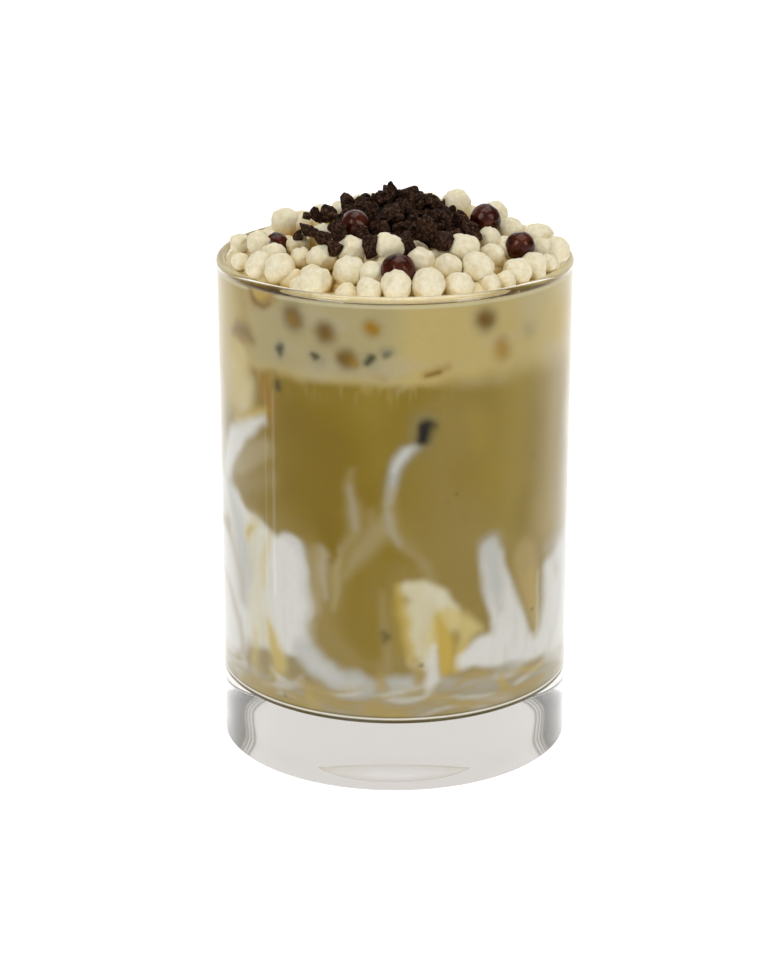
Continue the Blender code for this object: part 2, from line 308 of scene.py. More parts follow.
def join(start, output, end, entry):
    """Links one node's output to another node's input, each by its name or number."""
    start.id_data.links.new(start.outputs[output], end.inputs[entry])


def colour_from(socket, shader):
    """Gives a shader its colour from another node's output."""
    shader.id_data.links.new(socket, shader.inputs["Base Color"])


def attribute(material, name):
    """A node that reads an attribute of the points."""
    node = material.node_tree.nodes.new("ShaderNodeAttribute")
    node.attribute_name = name
    return node


def grain_group():
    """Two sizes of noise: a mask that varies the colour, and a height for the bump."""
    group = bpy.data.node_groups.new("Food grain", "ShaderNodeTree")
    sockets = {"INPUT": ("Fine", "Coarse", "Roughness"), "OUTPUT": ("Mask", "Height")}
    for way, names in sockets.items():
        for name in names:
            group.interface.new_socket(name, in_out=way, socket_type="NodeSocketFloat")
    nodes = group.nodes
    given, result = nodes.new("NodeGroupInput"), nodes.new("NodeGroupOutput")
    place = nodes.new("ShaderNodeTexCoord")
    fine, coarse = nodes.new("ShaderNodeTexNoise"), nodes.new("ShaderNodeTexNoise")
    for texture, scale, detail in ((fine, "Fine", 4), (coarse, "Coarse", 3)):
        set_inputs(texture, {"Detail": detail})
        join(place, "Object", texture, "Vector")
        join(given, scale, texture, "Scale")
        join(given, "Roughness", texture, "Roughness")
    total = nodes.new("ShaderNodeMath")
    total.operation = "MULTIPLY_ADD"
    set_inputs(total, {1: 0.5})
    join(fine, "Fac", total, 0)
    join(coarse, "Fac", total, 2)
    join(coarse, "Fac", result, "Mask")
    join(total, "Value", result, "Height")
    return group


def add_grain(material, group, fine, coarse, roughness, height, share=1.0):
    """Places the grain in a material, its height on the shader's normal. Returns the grain node."""
    nodes = material.node_tree.nodes
    grain = nodes.new("ShaderNodeGroup")
    grain.node_tree = group
    set_inputs(grain, {"Fine": fine, "Coarse": coarse, "Roughness": roughness})
    bump = nodes.new("ShaderNodeBump")
    set_inputs(bump, {"Distance": height, "Strength": share})
    join(grain, "Height", bump, "Height")
    join(bump, "Normal", nodes["Principled BSDF"], "Normal")
    return grain


def colour_mix(material, factor, first, second, low=0.0, high=1.0):
    """Mixes two colours, each a socket or a tone, by a factor stretched from low..high to 0..1."""
    nodes, links = material.node_tree.nodes, material.node_tree.links
    stretch = nodes.new("ShaderNodeMapRange")
    set_inputs(stretch, {"From Min": low, "From Max": high})
    links.new(factor, stretch.inputs["Value"])
    mix = nodes.new("ShaderNodeMix")
    mix.data_type = "RGBA"
    join(stretch, "Result", mix, "Factor")
    for colour, socket in ((first, mix.inputs["A"]), (second, mix.inputs["B"])):
        if isinstance(colour, tuple):
            socket.default_value = (*colour, 1.0)
        else:
            links.new(colour, socket)
    return mix.outputs["Result"]


def clear_glass(name, tint, gloss):
    """Clear glass that lets the light that falls on its contents straight through."""
    made, shader = new_material(name)
    nodes = made.node_tree.nodes
    set_inputs(shader, {"Base Color": (*tint, 1), "Specular Tint": (gloss, gloss, gloss, 1)})
    set_inputs(shader, {"Roughness": 0.0, "IOR": 1.5, "Transmission Weight": 1.0})
    path = nodes.new("ShaderNodeLightPath")
    either = nodes.new("ShaderNodeMath")
    either.operation = "MAXIMUM"
    join(path, "Is Shadow Ray", either, 0)
    join(path, "Is Diffuse Ray", either, 1)
    clear = nodes.new("ShaderNodeBsdfTransparent")
    mix = nodes.new("ShaderNodeMixShader")
    join(either, "Value", mix, "Fac")
    join(shader, "BSDF", mix, 1)
    join(clear, "BSDF", mix, 2)
    join(mix, "Shader", nodes["Material Output"], "Surface")
    return made


def drink_material(name, grain_nodes):
    """The painted marbling, with fine mottling and a few dark specks."""
    made, shader = new_material(name)
    paint = attribute(made, "Marbling")
    grain = add_grain(made, grain_nodes, 5200, 900, 0.6, 0.02 * MM, 0.3)
    darker = made.node_tree.nodes.new("ShaderNodeHueSaturation")
    set_inputs(darker, {"Value": 0.965})
    join(paint, "Color", darker, "Color")
    tones = (darker.outputs["Color"], paint.outputs["Color"])
    colour_from(colour_mix(made, grain.outputs["Mask"], *tones, 0.35, 0.6), shader)
    set_inputs(shader, {"Roughness": 0.5, "Specular IOR Level": 0.0})
    return made


def ball_material(grain_nodes):
    """Matt puffed crisp under a thin pale coating, yellower and darker deeper in the heap, where cream
    soaks it and as painted shade between and under the balls.
    """
    made, shader = new_material("Crisp balls")
    grain = add_grain(made, grain_nodes, 3600, 900, 0.65, 0.12 * MM, 0.6)
    dry = colour_mix(made, grain.outputs["Mask"], tone(223, 211, 176), tone(236, 228, 203), 0.35, 0.65)
    soak_and_shade = attribute(made, "SoakAndShade").outputs["Fac"]
    # Yellower and darker deeper in the heap: cream soaked in, and painted shade between and under the balls
    colour_from(colour_mix(made, soak_and_shade, dry, tone(214, 180, 84)), shader)
    set_inputs(shader, {"Roughness": 0.7, "Specular IOR Level": 0.2, "Subsurface Weight": 0.25})
    set_inputs(shader, {"Subsurface Radius": (1.0, 0.8, 0.45), "Subsurface Scale": 1.2 * MM})
    return made


def crumb_material(grain_nodes):
    """Dark baked porous cookie: grains lighter on their rises, darker in their pits, partly painted light
    and shade; near black deep in the pile, as painted shade.
    """
    made, shader = new_material("Cookie crumbs")
    grain = add_grain(made, grain_nodes, 3400, 1500, 0.8, 0.35 * MM, 1.0)
    # Lighter on the grain's rises and darker in its pits: painted highlight and painted shade over the
    # cookie's own grain
    colour = colour_mix(made, grain.outputs["Height"], tone(30, 12, 4), tone(136, 98, 72), 0.72, 1.1)
    # Near black deep in the pile: painted shade between the crumbs, varied at random by each crumb's tone
    deep = attribute(made, "Depth").outputs["Fac"]
    colour_from(colour_mix(made, deep, colour, tone(8, 2, 0)), shader)
    set_inputs(shader, {"Roughness": 0.7, "Specular IOR Level": 0.12})
    return made


def pearl_material(grain_nodes):
    """A glossy dark coating with faint paler clouds."""
    made, shader = new_material("Dark pearls")
    grain = add_grain(made, grain_nodes, 1500, 420, 0.5, 0.03 * MM, 0.5)
    colour = colour_mix(made, grain.outputs["Mask"], tone(34, 5, 0), tone(78, 32, 18), 0.35, 0.7)
    colour_from(colour, shader)
    set_inputs(shader, {"Roughness": 0.2, "Specular IOR Level": 0.3, "Specular Tint": (1.0, 0.74, 0.66, 1)})
    return made


# ---- marbling

# Strokes of the marbling, painted in order: colour, strength, softness in mm, then the points, each with
# its degrees round from the front, its height in mm and the stroke's half width there in mm
STROKES = (
    # the khaki body: deep on the left, lighter and then sandy towards the right
    (KHAKI_DEEP, 0.9, 9, (-33, 79, 7), (-22, 74, 8), (-16, 66, 6)),
    (KHAKI_DEEP, 0.8, 8, (-34, 64, 5), (-26, 61, 6), (-20, 58, 4)),
    (KHAKI_DULL, 0.55, 9, (20, 80, 7), (14, 68, 5), (22, 60, 5)),
    (KHAKI_LIGHT, 0.85, 10, (44, 84, 6), (40, 68, 5), (46, 58, 6)),
    (SAND, 0.8, 8, (64, 90, 4), (62, 72, 3), (63, 54, 4)),
    (CREAM, 0.8, 9, (86, 98, 7), (84, 84, 7), (84, 76, 6)),
    (MILK_WARM, 0.75, 9, (86, 72, 7), (84, 60, 7), (82, 50, 6)),
    (KHAKI, 0.7, 4, (48, 62, 2), (46, 56, 3)),
    (KHAKI_LIGHT, 0.5, 2.4, (26, 80.5, 2.4), (29, 78, 2.6), (27, 75, 2)),
    # left: pale cream above a white fold, with a golden edge
    (CREAM, 0.95, 5, (-72, 100, 6), (-68, 90, 7), (-64, 82, 6), (-62, 78, 3)),
    (GOLD_PALE, 0.5, 4, (-60, 90, 3), (-58, 84, 3), (-58, 80, 1.6)),
    (GOLD_PALE, 0.5, 4, (-64, 88, 2), (-60, 81, 3)),
    (CREAM_WHITE, 0.5, 4, (-54, 84, 1.4), (-58, 79, 1.6)),
    (CREAM, 0.8, 8, (-86, 98, 6), (-86, 88, 6), (-84, 80, 6)),
    (MILK_WARM, 0.8, 8, (-86, 76, 6), (-84, 66, 6), (-84, 58, 5)),
    (AMBER, 0.75, 3.4, (-49, 91, 1.6), (-46.5, 86, 2.4), (-44.5, 81, 2.2), (-44, 77.6, 1)),
    (GOLD, 0.8, 1.9, (-46.5, 79.2, 0.6), (-52, 78, 1.2), (-58, 76, 1), (-63, 74.8, 0.4)),
    (MILK, 0.95, 2.4, (-47.5, 77.2, 0.7), (-53, 75.4, 1.4), (-59, 73, 2.2), (-64, 70.6, 2.8),
     (-69, 67, 2.8), (-73, 62, 1.8)),
    (TAN, 0.95, 2.4, (-46.5, 71.5, 2), (-53, 69, 2.8), (-60, 66, 2.2), (-64, 64, 1)),
    (KHAKI_DULL, 0.8, 3, (-45, 65, 2.6), (-52, 62, 2.6), (-58, 62, 1.2)),
    (KHAKI, 0.7, 2.2, (-44, 60, 2.4), (-50, 58.5, 2), (-55, 59.5, 1.2)),
    # left: the large white body
    (MILK, 1, 2.2, (-84, 56, 5), (-74, 56, 4.4), (-66, 55.5, 4.2), (-61, 52, 5.2)),
    (MILK, 1, 2.2, (-60, 50, 6.5), (-50, 47, 7.2), (-42, 44, 8), (-37, 36, 7)),
    (MILK, 1, 2.4, (-88, 42, 9), (-72, 38, 9), (-56, 36, 9), (-42, 34, 7)),
    (MILK, 1, 1.5, (-37, 50.6, 3.8), (-35.2, 47, 3.8), (-35.4, 38, 3.9), (-35.6, 31.5, 3.6)),
    (MILK, 1, 3, (-88, 28, 8), (-74, 26, 7), (-64, 27, 4)),
    (MILK_SHADE, 0.2, 4, (-56, 25, 3), (-46, 25, 3.2), (-36, 25.4, 2.8), (-30, 26, 2.4)),
    (MILK_WARM, 0.9, 4, (-53, 53, 2.4), (-52, 42, 3.2), (-52, 31, 3.2)),
    (MILK_SHADE, 0.45, 2.6, (-38.5, 53.4, 0.8), (-33, 52.6, 1.2), (-30, 49, 0.9), (-29.6, 40, 0.9),
     (-29.6, 33, 1)),
    (MILK_SHADE, 0.75, 4, (-70, 60, 1.8), (-64, 53, 2.8), (-60, 45, 3.4), (-61, 37, 2.2)),
    (SILT, 0.75, 3, (-77, 55, 1), (-71, 49.4, 1.5), (-66, 44.6, 1.3), (-62, 40.4, 0.9), (-60.5, 36, 0.4)),
    (SILT, 0.8, 2.4, (-77, 38, 0.9), (-72, 36.4, 1.2), (-68, 33.6, 1.4), (-64, 30, 1.1), (-62, 26, 1.2),
     (-60.5, 21, 1.2)),
    (GOLD_PALE, 0.7, 2, (-52.6, 53.8, 0.8), (-55.4, 51.6, 1.1), (-57, 49.6, 0.8)),
    (GOLD, 0.7, 1.3, (-54, 52.6, 0.4), (-56.2, 50.8, 0.7)),
    (GOLD_PALE, 0.6, 1.8, (-45.4, 53, 0.5), (-46.6, 49, 0.9), (-48.6, 45, 0.7), (-48.2, 41, 0.4)),
    (GOLD_PALE, 0.6, 2.6, (-54, 29, 0.8), (-53.4, 25, 1.3), (-53, 20, 1.6)),
    (GOLD_PALE, 0.9, 2.4, (-46.6, 33.4, 0.5), (-45, 30.6, 1.4), (-43, 27.6, 1.8), (-41.6, 24, 1.8),
     (-42, 20, 1.6)),
    (GOLD, 0.55, 1.6, (-46, 32, 0.4), (-44.4, 29, 0.9), (-42.2, 25.4, 0.9), (-41.6, 22.4, 0.7)),
    # the soft streaks between the white body and the middle lobe
    (TAN, 0.85, 2.2, (-26.4, 52, 1.2), (-25.6, 46, 1.8), (-26.2, 40, 1.6), (-27.4, 34, 0.9)),
    (KHAKI_DULL, 0.7, 1.8, (-22.4, 50, 0.8), (-22.2, 44, 1.2), (-23.6, 38, 1.2)),
    (CREAM_DULL, 0.7, 1.7, (-19, 53, 0.6), (-19.4, 46, 0.9), (-20.4, 40, 0.5)),
    (SILT, 0.6, 1.6, (-24.4, 53.4, 0.4), (-24, 47, 0.8), (-23.8, 42, 0.4)),
    (KHAKI_DEEP, 0.9, 1.9, (-23, 58, 2.2), (-21.4, 54, 1.5), (-20.8, 51, 0.5)),
    # the middle lobe
    (KHAKI_DULL, 1, 2.2, (-24, 36, 1.9), (-22.4, 32.6, 2.8), (-16, 29.8, 2.6), (-8, 28.8, 1.9),
     (0, 28.6, 1.8)),
    (KHAKI, 0.7, 3, (-3, 52, 3), (-8, 47, 4.2), (-10, 41, 4.6), (-10, 35, 4.4), (-9, 31, 2.6)),
    (KHAKI, 0.8, 2.6, (-6, 53.4, 1.4), (0, 53, 2.2), (5, 51, 1.6)),
    (KHAKI, 0.5, 3, (-11, 47, 1.6), (-12, 41, 1.4)),
    (TAN, 0.5, 2, (-4, 44, 0.4), (-3.2, 38, 0.8), (-2.6, 31, 0.8), (-2.6, 25, 0.6)),
    # the white sweep under it
    (MILK_SHADE, 1, 2.6, (-30.5, 29.4, 2.8), (-26, 26.4, 2.6), (-20, 24.2, 2.6), (-14, 23.2, 2.6)),
    (MILK_SHADE, 1, 2.6, (-14, 23.2, 2.6), (-8, 22.8, 2), (-5.4, 23, 1.2)),
    (MILK_SHADE, 1, 2.2, (-1.4, 24.4, 0.8), (1, 23.6, 2), (4, 23.4, 2)),
    (MILK, 0.35, 3, (-31, 29.6, 2.2), (-26.4, 26.6, 2), (-20, 24.2, 1.2), (-13, 22.8, 0.6)),
    (SAND, 0.7, 1.6, (-4.4, 26, 0.5), (-3.6, 22.6, 0.8), (-3.4, 20, 0.5)),
    # the creamy patch right of the lobe, with gold in it
    (CREAM_WHITE, 1, 1.8, (4.6, 44.4, 1.8), (9.5, 43.6, 2.8), (13.5, 41.2, 3.4), (16, 38, 3.6)),
    (CREAM_WHITE, 1, 2, (8.6, 39, 3.6), (9.4, 33, 3.4), (8.4, 29, 2.6)),
    (MILK_WARM, 0.7, 2.2, (12, 43.8, 1.2), (16, 41.6, 1.4), (19.6, 39.4, 1)),
    (GOLD_PALE, 0.9, 2.2, (18.6, 38.4, 1.8), (22.6, 36.6, 2), (26.6, 35, 1.3), (29, 34.6, 0.6)),
    (GOLD_PALE, 0.8, 2, (23.6, 34, 1.6), (22.4, 30, 1.3), (21, 26.4, 1)),
    (GOLD, 0.8, 1.7, (1.2, 45.4, 0.5), (2.4, 41, 1), (3.6, 37.4, 1.2), (4.2, 33, 1), (5, 28.6, 0.6)),
    (KHAKI_LIGHT, 0.6, 1.8, (0.4, 42, 0.6), (1.4, 37, 0.8), (1.8, 31, 0.8)),
    (GOLD_PALE, 0.8, 2.6, (13.4, 36, 1.4), (11.6, 32.8, 1.2)),
    (GOLD, 1, 1.9, (15, 38.2, 0.8), (16, 35, 1.7), (16.8, 31.4, 1.9), (17, 28, 1.9), (16.8, 25.6, 1.3)),
    (GOLD, 0.7, 1.6, (23.2, 32, 0.5), (21.8, 28.6, 0.9), (21, 26, 0.7)),
    (MILK, 0.85, 1.7, (12.4, 31.8, 0.5), (12.2, 28, 1.1), (12, 24, 1.5), (11, 21.6, 1.2)),
    (SAND, 0.8, 1.9, (6.4, 29, 0.8), (7.6, 26, 0.9), (8.4, 23, 0.7), (8, 19.6, 0.5)),
    # white along the bottom, the finger that rises from it, and the sandy wedge beside
    (MILK, 1, 2, (24.6, 28, 2), (30, 29.6, 3.4), (36, 29.4, 4), (43, 28.4, 4.2), (50, 26.8, 3.4),
     (58, 26.6, 3)),
    (MILK_SHADE, 0.7, 2.4, (16, 22.8, 1.2), (24, 22.8, 1.6), (34, 22.8, 1.8), (46, 23.4, 1.2)),
    (MILK, 0.96, 2, (33, 51.8, 2), (34, 48, 2.8), (36, 44, 3.2), (38.6, 39.4, 3.6), (40.6, 35, 4.4),
     (42, 31, 5)),
    (MILK_SHADE, 0.75, 3, (33, 53, 2.2), (33.4, 49.6, 2.4), (35.4, 44, 2.2), (38, 38, 0.8)),
    (SAND, 0.9, 2.6, (48.6, 48, 3.4), (50.4, 41.6, 3), (52, 36, 2), (53.6, 32, 1.1), (54.6, 29.6, 0.4)),
    (GOLD, 0.35, 2.4, (51, 43, 1.2), (52.4, 37, 1), (54, 32, 0.4)),
    (CREAM_WHITE, 0.6, 0.9, (55, 43, 0.3), (55, 36, 0.5), (55, 30, 0.4)),
    (MILK, 0.95, 3.2, (63, 42.6, 2.6), (64.4, 36, 3.6), (62, 30, 3.6), (66, 26, 4.4)),
    (MILK, 0.95, 3.6, (72, 44, 3.8), (80, 42, 6), (76, 34, 7), (76, 26, 6)),
    (MILK, 1, 4, (88, 46, 6), (94, 34, 8), (92, 24, 7)),
    (SILT, 0.5, 3, (60, 47.6, 1), (66, 48, 1.6), (72, 47.4, 1)),
    (MILK_SHADE, 0.4, 2.4, (73, 42, 0.5), (72.4, 36, 0.8), (70, 29, 0.8), (66.6, 26, 0.4)),
    # streaks down from the sunken pearl
    (SLATE, 0.5, 2.6, (5, 74.6, 1.6), (1, 71, 1.5), (-1.4, 67, 1.2)),
    (MILK_SHADE, 0.95, 1.7, (7.4, 75.6, 0.7), (4.4, 74.4, 1.2), (1.8, 72.4, 1.1), (0, 70, 0.9),
     (-1.4, 67, 0.7), (-1.9, 63, 0.5)),
    (MILK, 0.4, 1.4, (5.4, 75, 0.4), (2.4, 73, 0.5), (0.2, 70.4, 0.3)),
    (TAN, 0.7, 2.4, (-1.4, 66, 0.6), (-2, 61, 1.4), (-4, 57.4, 2), (-7, 54.4, 1.6), (-12, 51.4, 1.2),
     (-16.6, 47, 0.6)),
    (TAN, 0.6, 2, (-1.4, 60, 0.8), (1, 56.4, 0.9), (5, 52.8, 0.8), (9.4, 49.4, 0.9), (13, 46.6, 0.5)),
    (MILK_SHADE, 0.4, 1.8, (-2, 61.4, 0.4), (-1.2, 58, 0.6), (2, 55, 0.3)),
    (TAN, 0.62, 2.4, (-13.8, 70.4, 0.4), (-14.4, 66, 1.2), (-13, 61, 1.8), (-13.4, 56.6, 1.5),
     (-16.6, 53, 0.7)),
    (MILK_SHADE, 0.3, 1.6, (-13.8, 67, 0.4), (-13.6, 62, 0.7), (-13.2, 58, 0.5)),
    (TAN, 0.45, 2, (-7.4, 62, 0.4), (-7.6, 58, 0.9), (-10.4, 54, 0.9), (-15, 50.4, 0.6)),
    # A faint pale arc at the cream's lower edge: a painted highlight
    (CREAM_DULL, 0.6, 1.8, (0.6, 87, 0.5), (3.6, 88.6, 0.7), (8, 89.6, 0.6), (14, 90, 0.4)),
)

# Curls along the floor of the glass, over the stirred band
CURLS = (
    (SAND, 0.75, 1.9, (-32, 21.4, 0.5), (-26.4, 20.6, 1.3), (-21, 20.2, 0.9)),
    (GOLD, 0.6, 1.6, (-28.6, 19, 1), (-26.4, 17.8, 0.7)),
    (SAND, 0.8, 1.8, (-39, 17.6, 0.5), (-34, 17.8, 0.9), (-26, 16.6, 0.7)),
    (SAND, 0.9, 1.8, (-9, 17.8, 0.8), (-3, 17.4, 1.2), (4, 17, 0.9)),
    (SAND, 0.85, 1.5, (20.6, 22.2, 0.4), (25, 24, 0.8), (30, 24.4, 0.9), (33, 24.2, 0.5)),
    (SAND, 0.85, 1.7, (12.6, 20.4, 0.6), (17, 19.8, 0.9), (21, 18, 0.8), (27, 17.4, 0.6)),
    (GOLD, 0.7, 1.5, (37, 22.8, 0.6), (38, 21, 0.8), (40, 19.6, 0.6)),
    (SAND, 0.85, 1.6, (39, 20, 0.5), (44, 18, 0.8), (52, 17.6, 0.7), (59, 18.2, 0.6)),
    (GOLD, 0.6, 1.3, (41, 22.8, 0.3), (45, 22.8, 0.6), (50, 21.4, 0.7), (56, 20.9, 0.6),
     (58.6, 21.4, 0.3)),
    (SAND, 0.7, 1.8, (-64, 17, 0.6), (-54, 18, 1.6), (-46, 18, 1.4)),
)

# Pearls and crumbs sunk in the cream and the drink, as strokes
SPOTS = (
    (SLATE, 0.55, 3.2, (9.4, 80, 2.2), (8.6, 76.4, 1.9)),
    (INK, 0.8, 2, (10.2, 79.4, 1.6), (9, 76.8, 1.3)),
    (INK, 0.6, 1.3, (11, 79.9, 0.7), (13.4, 79.4, 0.5)),
    (tone(26, 18, 8), 0.95, 1.3, (9.4, 79.4, 0.9), (8.8, 77, 0.8)),
    (SLATE, 0.4, 3, (-34, 101, 2.6), (-33.6, 99.8, 2.6)),
    (BROWN, 0.85, 2.6, (-34.4, 101.1, 1.9), (-33.6, 100.2, 1.9)),
    (AMBER, 0.6, 1.4, (-34.6, 100.4, 0.8), (-33.4, 99.9, 0.8)),
    (SLATE, 0.4, 2.8, (-22.6, 98.6, 2.2), (-22.4, 97.8, 2.2)),
    (BROWN, 0.9, 2.4, (-22.8, 98.7, 1.8), (-22.2, 98.1, 1.8)),
    (SLATE, 0.3, 2.4, (-7, 100, 1.6), (-7, 99.6, 1.6)),
    (AMBER, 1, 1.8, (-7.8, 100.2, 1.3), (-6.6, 99.6, 1.3)),
    (SLATE, 0.45, 3, (29.6, 101, 2.6), (30, 100, 2.4)),
    (BROWN, 0.95, 2.4, (29.4, 100.9, 1.7), (30.4, 100.4, 1.8)),
    (AMBER, 0.75, 2.6, (36, 94.6, 1.7), (36.6, 93.4, 1.8)),
    (SLATE, 0.3, 2.8, (-15.4, 93.6, 2.4), (-14.4, 93.2, 2.2)),
    (BROWN, 0.9, 2.2, (-16, 93.5, 1.8), (-15, 93.2, 1.8)),
    (AMBER, 0.7, 1.6, (-13.4, 93, 0.8), (-12.6, 92.4, 0.8)),
    (BROWN, 0.7, 2.6, (-64, 94, 1), (-60, 94.9, 1.9), (-55.6, 94.7, 1.7), (-52.6, 93.8, 0.9)),
    (AMBER, 0.7, 1.4, (-61, 93.4, 0.7), (-58, 93, 0.7)),
    (CREAM_PALE, 0.6, 3, (-59, 90, 1.6), (-57.6, 88.6, 1.6)),
    (AMBER, 0.6, 1.9, (9.4, 90.2, 0.5), (13, 90.7, 0.9), (17, 91.6, 0.6)),
    (BROWN, 0.85, 0.9, (10, 90.1, 0.25), (12, 90.4, 0.4), (14.6, 90.5, 0.25)),
    (AMBER, 0.3, 1.8, (-5.8, 89.9, 0.8), (-3.2, 89.4, 0.8)),
    (SLATE, 0.5, 2, (-39.6, 94, 1.2), (-39.4, 93, 1.3)),
    (INK, 0.8, 1.2, (-40, 93.4, 0.8), (-39, 93.8, 0.8), (-39.4, 92.6, 0.6)),
    (SLATE, 0.5, 2.2, (-26, 93.4, 1.4), (-24.4, 92.6, 1.4)),
    (INK, 0.85, 0.9, (-27, 93.6, 0.4), (-26, 93.1, 0.6), (-24.8, 93.3, 0.3)),
    (SLATE, 0.4, 1.8, (-8, 93.6, 1.4), (-7.6, 92.6, 1.4)),
    (INK, 0.85, 1.1, (-8.6, 92.8, 0.7), (-7.4, 93.8, 0.8)),
    (SLATE, 0.8, 1.5, (-3, 95, 1.1), (-1.6, 95.2, 0.9)),
    (INK, 0.5, 0.9, (-3, 94.4, 0.5), (-2, 94.8, 0.4)),
    (INK, 0.75, 1.2, (-40.6, 86, 0.8), (-40.2, 85.2, 0.7)),
    (SLATE, 0.45, 2.8, (47.4, 96.9, 1), (48.6, 96.4, 1.2)),
    (AMBER, 0.8, 2.4, (-52.6, 104.4, 1), (-50.6, 103, 1.8), (-47, 103.2, 1.8), (-43, 104, 1.2)),
    (GOLD, 0.8, 1.4, (-51.4, 104.2, 0.5), (-48.6, 103.4, 0.8), (-45.6, 104, 0.5)),
    (BROWN, 0.7, 1.1, (-52.8, 104, 0.4), (-51, 102, 0.6), (-46.6, 101.4, 0.5), (-43.6, 102.4, 0.3)),
    (INK, 0.6, 1.5, (-3.6, 35, 0.5), (-2.6, 34.2, 0.7), (-3.2, 33.4, 0.4)),
    (INK, 0.6, 0.5, (20.3, 64.8, 0.25), (20.7, 64.6, 0.2)),
    (INK, 0.6, 0.5, (50.8, 69.4, 0.2), (51.4, 69.2, 0.2)),
    (INK, 0.8, 0.5, (8.4, 27.8, 0.25), (9.2, 27.7, 0.3)),
    (INK, 0.6, 0.6, (-21.4, 50.1, 0.25), (-20.8, 50, 0.25)),
    (INK, 0.7, 0.5, (51.8, 35.1, 0.25), (52.6, 34.9, 0.2)),
    (INK, 0.6, 0.5, (-39.2, 18, 0.25), (-38.8, 17.9, 0.25)),
    (INK, 0.4, 0.5, (17, 63.4, 0.2), (17.4, 63.2, 0.2)),
    (INK, 0.3, 0.6, (22.4, 60.2, 0.25), (22.8, 59.8, 0.25)),
)


def smooth(value):
    """0 below 0, 1 above 1, with soft ends."""
    held = np.clip(value, 0, 1)
    return held * held * (3 - 2 * held)


def stroke_cover(across, up, softness, points):
    """How much a stroke covers each place, 0 to 1. Places are in mm round the wall and up it."""
    cover = np.zeros_like(across)
    turn = math.tau * INNER_RADIUS / MM
    spots = [(math.radians(angle) * INNER_RADIUS / MM, height, width) for angle, height, width in points]
    for (x0, y0, w0), (x1, y1, w1) in zip(spots, spots[1:]):
        from_start = (across - x0 + turn / 2) % turn - turn / 2
        along = ((from_start * (x1 - x0)) + (up - y0) * (y1 - y0)) / ((x1 - x0) ** 2 + (y1 - y0) ** 2)
        along = np.clip(along, 0, 1)
        distance = np.hypot(from_start - along * (x1 - x0), up - y0 - along * (y1 - y0))
        width = w0 + (w1 - w0) * along
        cover = np.maximum(cover, smooth((width - distance) / softness + 0.5))
    return cover


def back_strokes():
    """White fingers, tan wedges and streaks for the side that faces away, drawn by a seeded rule."""
    rng = random.Random(SEED)
    strokes = []
    for angle in range(98, 262, 16):
        lean = rng.uniform(-6, 6)
        top = rng.uniform(38, 64)
        middle = angle + rng.uniform(-4, 4)
        width = rng.uniform(1.6, 4.2)
        finger = ((middle + lean, top, width * 0.5), (middle, top * 0.72, width), (middle, 26, width + 2.5))
        strokes.append((MILK, 0.95, 3.0, *finger))
        strokes.append((SAND, 0.6, 2.6, (angle + 8, top - 6, 1.0), (angle + 8 - lean, 34, 0.7)))
        if rng.random() < 0.5:
            thread = ((angle + 3, 36, 0.5), (angle + 4, 29, 1.0), (angle + 2, 24, 0.6))
            strokes.append((GOLD, 0.5, 1.6, *thread))
        start = rng.uniform(62, 82)
        streak = ((angle, start, 0.5), (angle + lean, start - 10, 1.0), (middle, start - 20, 0.5))
        strokes.append((TAN, 0.6, 2.2, *streak))
    strokes.append((MILK, 0.9, 4.0, (95, 28, 5), (140, 26, 4), (180, 29, 5), (220, 26, 4), (262, 28, 5)))
    return strokes


def back_spots():
    """Sunken pearls and crumbs behind, just under the surface of the cream."""
    rng = random.Random(SEED + 1)
    spots = []
    for angle in range(100, 262, 14):
        place = angle + rng.uniform(-4, 4)
        height = rng.uniform(91.5, 101)
        colour, size, soft = rng.choice(((BROWN, 1.4, 1.8), (AMBER, 1.2, 2.2), (INK, 0.8, 1.1)))
        points = ((place, height, size), (place + 0.6, height - 0.4, size))
        spots.append((colour, rng.uniform(0.5, 0.85), soft, *points))
    return spots


def on_wall(points):
    """Places on the wall, in mm round from the front and up."""
    angle = np.arctan2(points[:, 0], -points[:, 1])
    return angle * INNER_RADIUS / MM, points[:, 2] / MM


def warped(points):
    """Places on the wall, pushed about by noise so that no edge runs plain."""
    across, up = on_wall(points)
    for size, push, seed in ((9.0, 0.8, 0.0), (3.8, 0.5, 31.0), (1.5, 0.1, 57.0)):
        moves = [noise.noise_vector(Vector(point) / (size * MM) + Vector((seed, 0, 0))) for point in points]
        moves = np.array(moves)
        across = across + push * moves[:, 0]
        up = up + push * moves[:, 2]
    return across, up


def drifting(points, size, stretch, seed):
    """Noise from -1 to 1 that is drawn out round the wall or up it, by the stretch."""
    squeeze = Vector((1 / stretch, 1 / stretch, stretch)) / (size * MM)
    return np.array([noise.noise(Vector(point) * squeeze + Vector((seed, seed, 0))) for point in points])


def blend(paint, colour, share):
    """Lays a colour over the paint."""
    return paint + (np.array(colour) - paint) * share[:, None]


def painted(points):
    """The drink's colour at each place on its wall."""
    across, up = warped(points)
    angle = np.degrees(across * MM / INNER_RADIUS)
    wisps = drifting(points, 4.0, 0.4, 63.0)
    ragged = 0.02 * wisps + 0.03 * drifting(points, 2.4, 0.9, 88.0)
    paint = np.tile(np.array(KHAKI), (len(points), 1))
    paint = blend(paint, KHAKI_LIGHT, smooth(drifting(points, 12, 1.0, 3.0) + 0.3) * 0.35)
    paint = blend(paint, KHAKI_DULL, smooth((68 - up) / 16) * 0.6)
    paint = lay_strokes(paint, across, up, ragged, (*STROKES, *back_strokes()))
    paint = blend(paint, KHAKI_DULL, smooth(1.6 * wisps) * smooth((58 - up) / 20) * 0.10)
    paint = floor_band(paint, points, up)
    paint = lay_strokes(paint, across, up, ragged, CURLS)
    paint = cream_band(paint, points, angle, up)
    across, up = on_wall(points)
    across = across + 0.25 * drifting(points, 1.6, 1.0, 17.0)
    up = up + 0.25 * drifting(points, 1.6, 1.0, 19.0)
    paint = lay_strokes(paint, across, up, ragged, (*SPOTS, *back_spots()))
    return bottom_edge(paint, points)


